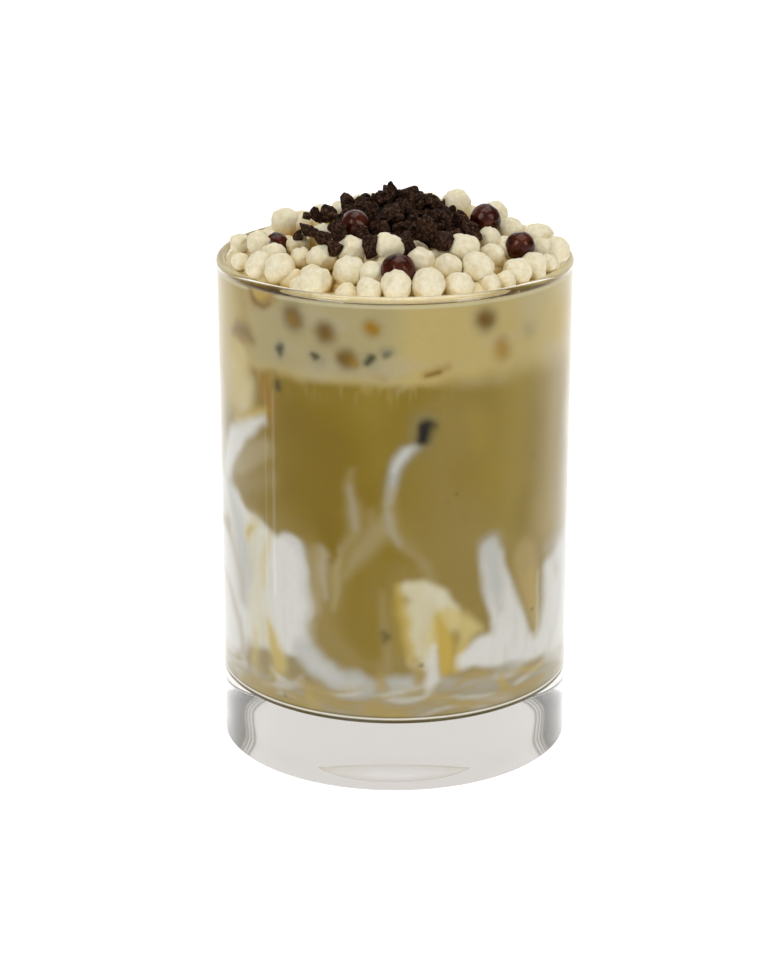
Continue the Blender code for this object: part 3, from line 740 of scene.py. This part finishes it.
def lay_strokes(paint, across, up, ragged, strokes):
    """Lays the strokes over the paint in their order, their soft edges a little ragged."""
    for colour, strength, softness, *points in strokes:
        cover = stroke_cover(across, up, softness * SOFTER, points)
        cover = np.clip(cover + 4 * ragged * cover * (1 - cover), 0, 1)
        paint = blend(paint, colour, cover * strength)
    return paint


def floor_band(paint, points, up):
    """Milk and drink stirred into soft flat curls near the floor of the glass."""
    band = smooth((FLOOR_BAND - up) / 5.0)
    curl = drifting(points, 4.6, 1.9, 9.0) + 0.5 * drifting(points, 2.2, 1.7, 21.0)
    paint = blend(paint, MILK_SHADE, band * 0.7)
    paint = blend(paint, SAND, band * smooth(curl * 3.0 + 0.2) * 0.6)
    paint = blend(paint, TAN, smooth((18.6 - up) / 3) * 0.6)
    for size, stretch, seed, colour, share in ((7.0, 1.8, 131.0, MILK, 0.55), (6.0, 2.0, 143.0, SAND, 0.6)):
        vein = smooth(1.3 - np.abs(drifting(points, size, stretch, seed)) / 0.14)
        paint = blend(paint, colour, vein * smooth((FLOOR_BAND + 1 - up) / 5.0) * share)
    paint = blend(paint, TAN, smooth((18.6 - up) / 3) * 0.4)
    return blend(paint, KHAKI_DULL, band * 0.3)


def bottom_edge(paint, points):
    """Fine dark and pale lines where the drink turns under into the floor of the glass, the dark painted
    shade and the pale a painted highlight, and its underside painted pale for its reflection in the glass's
    foot.
    """
    height = (points[:, 2] - FLOOR) / MM
    inward = (INNER_RADIUS - np.hypot(points[:, 0], points[:, 1])) / MM
    for colour, middle, half, strength in EDGE_SHADE_AND_HIGHLIGHT:
        paint = blend(paint, colour, smooth(1.5 - np.abs(height - middle) / half) * strength)
    # The underside, painted near white with a blue cast for its reflection in the glass's foot: a painted
    # reflection
    return blend(paint, UNDERSIDE, smooth(inward - 1.0))


def cream_band(paint, points, angle, up):
    """The pale cream above the drink, its lower edge sharper on the left than on the right, with a painted
    highlight along its top at the glass.
    """
    angle = np.interp(angle, (-180, -90, 110, 180), (30, -90, 110, 30))
    right = smooth((angle - 4) / 30)
    edge = CREAM_EDGE + 0.8 * drifting(points, 7, 1.0, 40.0)
    softness = 2.6 + 5.0 * right
    cover = smooth((up - edge) / softness + 0.5)
    colour = blend(np.tile(np.array(CREAM_DULL), (len(points), 1)), CREAM, smooth((angle + 6) / 14))
    colour = blend(colour, CREAM, smooth((91.5 - up) / 4) * 0.7)
    colour = blend(colour, GOLD, smooth((-angle - 46) / 16) * 0.7)
    colour = blend(colour, GOLD_PALE, smooth((angle - 38) / 34) * 0.35)
    clouds = smooth(drifting(points, 7, 1.5, 12.0) * 1.8)
    colour = blend(colour, SILT, clouds * smooth((angle + 50) / 10) * 0.28)
    colour = blend(colour, GOLD, smooth(1.4 - np.hypot((angle - 70) / 11, (up - 96) / 5)) * 0.9)
    drips = smooth(drifting(points, 1.8, 0.4, 77.0) * 2) * smooth((up - 82) / 6) * (1 - cover)
    paint = blend(paint, CREAM, drips * 0.3 * (1 - right))
    share = (cover * (1 - 0.4 * smooth((-angle - 50) / 8)))[:, None]
    paint = paint + (colour - paint) * share
    # A pale line just under the cream's top, along the glass: a painted highlight that brightens the band
    # under the rim
    below_top = CREAM_LEVEL / MM - points[:, 2] / MM
    return blend(paint, CREAM_WHITE, smooth(1.5 - np.abs(below_top - 0.25) / 0.3) * 0.8)


def paint_drink(piece):
    """Stores the marbling on the piece's points."""
    mesh = piece.data
    points = np.empty(len(mesh.vertices) * 3)
    mesh.vertices.foreach_get("co", points)
    paint = painted(points.reshape(-1, 3))
    colours = np.ones((len(mesh.vertices), 4))
    colours[:, :3] = np.clip(paint - np.array(VEIL), 0.002, 1)
    layer = mesh.color_attributes.new("Marbling", "FLOAT_COLOR", "POINT")
    layer.data.foreach_set("color", colours.ravel())


# ---- glass and drink


def build_glass(material, rim_material):
    """Heavy floor, straight wall, rounded rim, rounded foot and a shallow hollow beneath."""
    inner_join = math.degrees(math.acos((BEAD_LINE - INNER_RADIUS) / BEAD_RADIUS))
    outer_join = math.degrees(math.acos((GLASS_RADIUS - BEAD_LINE) / BEAD_RADIUS))
    foot = GLASS_RADIUS - FOOT_ROUNDING
    fillet_centre = (INNER_RADIUS - FLOOR_FILLET, FLOOR + FLOOR_FILLET)
    profile = [(0.0, FLOOR), (INNER_RADIUS * 0.5, FLOOR)]
    profile += arc(fillet_centre, FLOOR_FILLET, -90, 0, ARC_STEPS)
    profile += arc((BEAD_LINE, BEAD_HEIGHT), BEAD_RADIUS, 180 + inner_join, -outer_join, 20)
    profile += arc((foot, FOOT_ROUNDING), FOOT_ROUNDING, 0, -90, 8)
    for i in range(ARC_STEPS + 1):
        rise = 0.5 - 0.5 * math.cos(math.pi * i / ARC_STEPS)
        profile.append((FOOT_RING_INNER * (1 - i / ARC_STEPS), PUNT_DEPTH * rise))
    shape = turned(profile, GLASS_STEPS)
    piece = finished("glass_tumbler", shape, "clear_glass", material, "glass", crease=CREASE)
    piece.data.materials.append(rim_material)
    for face in piece.data.polygons:
        face.material_index = int(face.center.z > CREAM_LEVEL)


def wall_rings(low, high):
    """Points up the drink's wall, close enough for the marbling."""
    steps = round((high - low) / DRINK_RINGS)
    reach = INNER_RADIUS + INTO_WALL
    return [(reach, low + (high - low) * i / steps) for i in range(steps + 1)]


def build_shake(material):
    """The drink, just into the glass's wall and floor."""
    bottom = FLOOR - INTO_WALL
    fillet = FLOOR_FILLET
    reach = INNER_RADIUS + INTO_WALL
    profile = [(0.0, bottom), (reach * 0.3, bottom), (reach * 0.6, bottom)]
    profile += arc((reach - fillet, bottom + fillet), fillet, -90, 0, ARC_STEPS)[:-1]
    profile += wall_rings(bottom + fillet, LAYER_HEIGHT)
    profile += [(reach * 0.6, LAYER_HEIGHT), (0.0, LAYER_HEIGHT)]
    shape = turned(profile, DRINK_STEPS)
    paint_drink(finished("shake_marbled", shape, "shake", material, "shake", crease=CREASE))


def build_cream(material):
    """The pale layer, up to just under the rim, drawn up a little where it meets the glass."""
    reach = INNER_RADIUS + INTO_WALL
    profile = [(0.0, LAYER_HEIGHT), (reach * 0.6, LAYER_HEIGHT)]
    profile += wall_rings(LAYER_HEIGHT, CREAM_LEVEL + CREAM_CLIMB)
    profile += [(reach - 1.0 * MM, CREAM_LEVEL + 0.2 * MM), (reach * 0.8, CREAM_LEVEL), (0.0, CREAM_LEVEL)]
    shape = turned(profile, DRINK_STEPS)
    paint_drink(finished("cream_layer", shape, "cream", material, "cream", crease=CREASE))


# ---- toppings


def camera_turn():
    """The camera's turn as a matrix."""
    return Matrix.Rotation(CAMERA_TURN, 3, "Z") @ Matrix.Rotation(math.pi / 2 - CAMERA_TILT, 3, "X")


def sight(column, row):
    """The direction from the camera through a place in the render."""
    across = column - RENDER_SIZE[0] / 2
    down = row - RENDER_SIZE[1] / 2
    return (camera_turn() @ Vector((across, -down, -FOCAL_PIXELS))).normalized()


def in_render(point):
    """Column, row and pixels to the metre of a point as the camera sees it."""
    seen = camera_turn().transposed() @ (point - CAMERA_PLACE)
    scale = -FOCAL_PIXELS / seen.z
    return RENDER_SIZE[0] / 2 + seen.x * scale, RENDER_SIZE[1] / 2 - seen.y * scale, scale


def under_outline(centre, radius):
    """Whether a ball stays below the heap's outline as the camera sees it."""
    column, row, scale = in_render(centre)
    size = radius * scale
    columns, rows = zip(*HEAP_OUTLINE)
    slant = 0.7 * size
    spots = ((column, row - size), (column - slant, row - slant), (column + slant, row - slant))
    return all(y > np.interp(x, columns, rows) - 1 for x, y in spots)


def on_dome(column, row, lift=0.0):
    """Where the line of sight through a place in the render first meets the dome, raised by a lift."""
    look = sight(column, row)
    for distance in np.linspace(*SIGHT_RANGE, SIGHT_STEPS, endpoint=False).tolist():
        point = CAMERA_PLACE + look * distance
        if point.z < dome_height(math.hypot(point.x, point.y)) + lift:
            return point
    return point


def rim_limit(radius, height):
    """How far from the axis a ball's centre may lie, clear of the wall and of the rim's bead."""
    clear = radius + BEAD_RADIUS
    above = height - BEAD_HEIGHT
    if above >= clear:
        return BEAD_LINE
    if above <= -clear:
        return INNER_RADIUS - radius
    beside = BEAD_LINE - math.sqrt(clear**2 - above**2)
    return beside if above > 0 else min(INNER_RADIUS - radius, beside)


def held_in_glass(centre, radius):
    """The centre, drawn in until the ball clears the glass."""
    reach = math.hypot(centre.x, centre.y)
    share = min(1.0, rim_limit(radius + BALL_CLEARANCE, centre.z) / reach)
    return Vector((centre.x * share, centre.y * share, centre.z))


def pearls():
    """Centre and radius of each pearl, from the frame."""
    return [((Vector(low) + Vector(high)) / 2, (high[2] - low[2]) / 2) for low, high in PEARL_BOXES]


def top_balls(rng):
    """The balls on the heap: those seen in front, then more wherever there is room."""
    balls = []
    for column, row, size, lift in SEEN_BALLS:
        centre = on_dome(column, row, lift * MM)
        radius = size / FOCAL_PIXELS * (centre - CAMERA_PLACE).length
        balls.append((held_in_glass(centre, radius), radius))
    clear = PILE_RADIUS + BALL_CLEARANCE
    add_where_free(balls + pearls(), balls, rng, TOP_TRIES, 0.0, TOP_CLOSENESS, clear, BACK_LINE)
    return balls


def add_where_free(taken, balls, rng, tries, sink, closeness, pile_reach, front=-1.0):
    """Drops balls at random on the dome, behind the front line, and keeps each that lands clear."""
    for _ in range(tries):
        reach = INNER_RADIUS * math.sqrt(rng.random())
        bearing = rng.uniform(0, math.tau)
        radius = rng.uniform(*BALL_RADIUS)
        lift = rng.uniform(-1.8, 0.9 + 2.4 * (reach / INNER_RADIUS) ** 6) * MM - sink
        centre = Vector((reach * math.cos(bearing), reach * math.sin(bearing), dome_height(reach) + lift))
        centre = held_in_glass(centre, radius)
        if centre.y < front or (centre.xy - PILE_CENTRE).length < pile_reach + radius:
            continue
        if not under_outline(centre, radius):
            continue
        if all((centre - other).length > closeness * (radius + size) for other, size in taken):
            taken.append((centre, radius))
            balls.append((centre, radius))


def random_axis(rng):
    """A direction, any as likely as another."""
    return Vector([rng.gauss(0, 1) for _ in range(3)]).normalized()


def random_offset(rng):
    """A far place in the noise, so that no two lumps are alike."""
    return Vector([rng.uniform(-50, 50) for _ in range(3)])


def random_cuts(rng, count, near, far):
    """Planes that cut a unit ball, each an axis and its distance from the middle."""
    return [(random_axis(rng), rng.uniform(near, far)) for _ in range(count)]


def flattened(point, cuts):
    """A point of a unit ball, brought in to each cut plane that it lies beyond."""
    for axis, depth in cuts:
        beyond = point.dot(axis) - depth
        if beyond > 0:
            point = point - axis * beyond * FLAT_SHARE
    return point


def add_ball(shape, centre, radius, subdivisions, rng):
    """One puffed ball: a few flattened sides and small bumps."""
    cuts = random_cuts(rng, *BALL_FLATS)
    offset = random_offset(rng)
    stretch = Vector([rng.uniform(0.93, 1.07) for _ in range(3)]) * radius

    def placed(way):
        swell = 1.05 + 0.14 * noise.noise(way * 1.4 + offset) + 0.07 * noise.noise(way * 3.6 + offset)
        swell += 0.018 * noise.noise(way * 11 + offset)
        return centre + flattened(way, cuts) * swell * stretch

    add_lump(shape, subdivisions, placed)


def build_balls(material):
    """The crisp balls: a top layer, a sunk layer that closes the gaps, and the cream that they lie in."""
    rng = random.Random(SEED + 3)
    top = top_balls(rng)
    sunk = []
    add_where_free(top + pearls(), sunk, rng, SUNK_TRIES, SUNK, SUNK_CLOSENESS, 6 * MM)
    shape = turned(bed_profile(), 96)
    for centre, radius in top:
        add_ball(shape, centre, radius, 4, rng)
    for centre, radius in sunk:
        add_ball(shape, centre, radius, 3, rng)
    piece = finished("crisp_balls_heap", shape, "crisp_balls", material, "crisp_balls")
    store_soak_and_shade(piece)


def bed_profile():
    """The bed of cream and crisp under the balls, from its top down to the cream's level."""
    reach = INNER_RADIUS - 0.2 * MM
    rings = 12
    profile = [(0.0, HEAP_BOTTOM), (reach, HEAP_BOTTOM)]
    for i in range(rings, 0, -1):
        radius = reach * i / rings
        profile.append((radius, max(dome_height(radius) - SUNK, HEAP_BOTTOM + 0.3 * MM)))
    profile.append((0.0, dome_height(0) - SUNK))
    return profile


def store_soak_and_shade(piece):
    """How deep each point lies in the heap, 0 on top to 1 in the cream, for the soaked cream and the
    painted shade lower down.
    """
    mesh = piece.data
    layer = mesh.attributes.new("SoakAndShade", "FLOAT", "POINT")
    depths = [dome_height(math.hypot(v.co.x, v.co.y)) + 2.2 * MM - v.co.z for v in mesh.vertices]
    layer.data.foreach_set("value", np.clip(np.array(depths) / (5.0 * MM), 0, 1) ** 1.4)


def add_crumb(shape, centre, size, subdivisions, rng):
    """One broken crumb: flat broken faces, sharp edges and a rough surface."""
    cuts = random_cuts(rng, *CRUMB_FLATS)
    offset = random_offset(rng)
    stretch = Vector((rng.uniform(0.7, 1.0), rng.uniform(0.9, 1.15), rng.uniform(1.0, 1.5))) * size
    turn = Matrix.Rotation(rng.uniform(0, math.tau), 3, random_axis(rng))

    def placed(way):
        rough = 1 + 0.14 * noise.noise(way * 2.6 + offset) + 0.08 * noise.noise(way * 7 + offset)
        return centre + turn @ (flattened(way, cuts) * 1.35 * rough * stretch)

    add_lump(shape, subdivisions, placed)


def pile_height(across, along):
    """Height of the pile's surface at a place in shares of its radius; its left side is the steeper."""
    fall = min(1.0, math.hypot(across, along)) ** PILE_POWER
    return PILE_SEAT + (PILE_TOP - PILE_SEAT) * (1 - fall) * (1 - PILE_LEAN * across)


def build_crumbs(material):
    """The pile of cookie crumbs, a few of them large, over a plain core that closes it, near black as
    painted shade.
    """
    rng = random.Random(SEED + 4)
    shape = bmesh.new()
    shades = []
    golden_turn = math.pi * (3 - math.sqrt(5))
    for i in range(CRUMB_COUNT):
        share = math.sqrt((i + 0.5) / CRUMB_COUNT)
        size = CRUMB_SIZE + CRUMB_SPREAD * rng.random() ** 2
        turn = i * golden_turn + rng.uniform(-0.3, 0.3)
        across, along = share * math.cos(turn), share * math.sin(turn)
        place = PILE_CENTRE + Vector((across, along)) * PILE_RADIUS
        height = pile_height(across, along) + rng.uniform(*CRUMB_JITTER) * MM
        centre = Vector((place.x, place.y, height))
        if all((centre - pearl).length > radius + size * 0.9 for pearl, radius in pearls()):
            add_crumb(shape, centre, size, 4 if centre.y < FINE_LINE else 3, rng)
            # Each crumb's own random tone, added to its painted shade
            shades += [rng.uniform(-0.3, 0.25)] * (len(shape.verts) - len(shades))
    inside = bmesh.ops.create_icosphere(shape, subdivisions=4, radius=1.0)
    for vertex in inside["verts"]:
        height = pile_height(*vertex.co.xy) - CORE_DEPTH if vertex.co.z > 0 else PILE_SEAT - 1.0 * MM
        middle = PILE_CENTRE + vertex.co.xy * PILE_RADIUS * 0.94
        vertex.co = Vector((middle.x, middle.y, height))
    # The core takes the full painted shade
    shades += [0.5] * (len(shape.verts) - len(shades))
    piece = finished(
        "cookie_crumb_pile", shape, "cookie_crumbs", material, "cookie_crumbs", crease=CRUMB_CREASE
    )
    store_pile_shade_and_tone(piece, shades)


def store_pile_shade_and_tone(piece, shades):
    """How much painted shade each point takes, from how deep it lies in the pile, 0 outside to 1 inside,
    varied at random by each crumb's tone.
    """
    mesh = piece.data
    layer = mesh.attributes.new("Depth", "FLOAT", "POINT")
    depths = []
    for vertex, shade in zip(mesh.vertices, shades):
        place = (vertex.co.xy - PILE_CENTRE) / PILE_RADIUS
        depths.append((pile_height(*place) + 0.7 * MM - vertex.co.z) / (2.4 * MM) + shade)
    layer.data.foreach_set("value", np.clip(np.array(depths), 0, 1))


def build_loose_crumbs(material):
    """Crumbs that rolled off the pile onto the balls."""
    rng = random.Random(SEED + 5)
    shape = bmesh.new()
    for column, row, size, lift in LOOSE_CRUMBS:
        centre = on_dome(column, row, lift * MM)
        radius = LOOSE_SHARE * size / FOCAL_PIXELS * (centre - CAMERA_PLACE).length
        add_crumb(shape, centre, radius, 4, rng)
    finished("loose_cookie_crumbs", shape, "cookie_crumbs", material, crease=CRUMB_CREASE)


def add_pearl(shape, centre, radius, rng):
    """One pearl, with shallow flats and a few dimples in its coating."""
    offset = random_offset(rng)
    cuts = random_cuts(rng, *PEARL_FLATS)

    def placed(way):
        swell = 1.01 + 0.04 * noise.noise(way * 1.3 + offset) + 0.018 * noise.noise(way * 4 + offset)
        return centre + flattened(way, cuts) * radius * swell

    add_lump(shape, 5, placed)


def build_pearls(material):
    """The dark pearls, each a little uneven."""
    rng = random.Random(SEED + 6)
    for i, (centre, radius) in enumerate(pearls(), 1):
        shape = bmesh.new()
        add_pearl(shape, centre, radius, rng)
        finished(f"dark_pearl_{i}", shape, "dark_pearls", material, f"pearl_{i}")


# ---- stage


def build_stage():
    """A plain pale floor that glows a little, as a light table does, so that it casts hardly a shadow."""
    shape = bmesh.new()
    bmesh.ops.create_circle(shape, cap_ends=True, segments=96, radius=6.0)
    made, shader = new_material("Pale floor")
    set_inputs(shader, {"Base Color": (0.9, 0.9, 0.9, 1), "Roughness": 0.9, "Specular IOR Level": 0.1})
    set_inputs(shader, {"Emission Color": (1, 1, 1, 1), "Emission Strength": 0.55})
    floor = in_scene("floor", mesh_of("floor", shape, made))
    floor.location.z = -0.05 * MM


def add_softbox(name, place, aim, size, radiance):
    """A square soft light that glows with the given radiance."""
    light = bpy.data.lights.new(name, "AREA")
    light.shape = "RECTANGLE"
    light.size, light.size_y = size
    light.energy = radiance * math.pi * size[0] * size[1]
    lamp = in_scene(name, light)
    lamp.location = place
    lamp.rotation_euler = (Vector(aim) - Vector(place)).to_track_quat("-Z", "Y").to_euler()
    lamp.visible_camera = False


# How bright the surroundings are behind the glass: how far back a direction points, and its brightness
BEHIND = (
    (0.54, 0.14), (0.56, 0.5), (0.575, 0.2), (0.59, 0.8), (0.6, 0.25), (0.615, 0.8), (0.63, 0.35),
    (0.65, 0.85), (0.69, 0.9),
)
STREAK_TINT = (1.0, 0.98, 0.84)


def build_world():
    """Bright behind the glass, with dark streaks to the sides, half as bright in front and dim overhead."""
    world = bpy.data.worlds.new("Studio")
    bpy.context.scene.world = world
    world.use_nodes = True
    nodes = world.node_tree.nodes
    place = nodes.new("ShaderNodeTexCoord")
    split = nodes.new("ShaderNodeSeparateXYZ")
    join(place, "Generated", split, "Vector")
    behind = nodes.new("ShaderNodeValToRGB")
    stops = behind.color_ramp.elements
    stops[0].position, stops[-1].position = BEHIND[0][0], BEHIND[-1][0]
    for position, _ in BEHIND[1:-1]:
        stops.new(position)
    for stop, (_, brightness) in zip(stops, BEHIND):
        tint = STREAK_TINT if brightness < 0.6 else (1, 1, 1)
        stop.color = (*(brightness * share for share in tint), 1)
    join(split, "Y", behind, "Fac")
    front = nodes.new("ShaderNodeMapRange")
    set_inputs(front, {"From Min": -0.35, "From Max": -0.75, "To Max": 0.45})
    join(split, "Y", front, "Value")
    brighter = nodes.new("ShaderNodeVectorMath")
    brighter.operation = "MAXIMUM"
    join(behind, "Color", brighter, 0)
    join(front, "Result", brighter, 1)
    join(brighter, "Vector", nodes["Background"], "Color")


def build_lights():
    """Large soft lights for the whole, and two strips that reflect in the left of the glass's wall."""
    aim = (0, 0, 0.08)
    add_softbox("softbox_top", (0.1, 0.1, 1.5), aim, (1.3, 1.3), 2.4)
    add_softbox("softbox_left", (-0.95, -1.0, 1.0), aim, (0.5, 0.8), 5.2)
    add_softbox("softbox_right", (1.05, -0.9, 0.85), aim, (0.45, 0.7), 4.4)
    beside = (-0.0253, -0.0276, 0.024)
    add_softbox("strip_wide", (-0.1053, -0.0307, 0.024), beside, (0.0045, 0.05), 1.6)
    add_softbox("strip_narrow", (-0.1067, -0.0191, 0.024), beside, (0.0012, 0.05), 2.4)


def build_camera():
    """The camera, without shift or depth of field."""
    data = bpy.data.cameras.new("camera")
    data.sensor_fit = "VERTICAL"
    data.sensor_height = SENSOR
    data.lens = LENS
    data.clip_start = 0.01
    camera = in_scene("camera", data)
    camera.location = CAMERA_PLACE
    camera.rotation_euler = (math.pi / 2 - CAMERA_TILT, 0, CAMERA_TURN)
    bpy.context.scene.camera = camera


def main():
    """Builds the stage, then each piece from the glass inwards and up."""
    # Unless it is seeded, the noise's vector draws on the time of the run
    noise.seed_set(SEED)
    bpy.context.scene.view_settings.view_transform = "Standard"
    build_camera()
    build_stage()
    build_world()
    build_lights()
    grain_nodes = grain_group()
    crumbs = crumb_material(grain_nodes)
    wall = clear_glass("Clear glass", tone(226, 222, 217), 0.35)
    rim = clear_glass("Glossy rim", tone(254, 251, 244), 1.0)
    build_glass(wall, rim)
    build_shake(drink_material("Marbled shake", grain_nodes))
    build_cream(drink_material("Cream layer", grain_nodes))
    build_balls(ball_material(grain_nodes))
    build_crumbs(crumbs)
    build_loose_crumbs(crumbs)
    build_pearls(pearl_material(grain_nodes))


main()
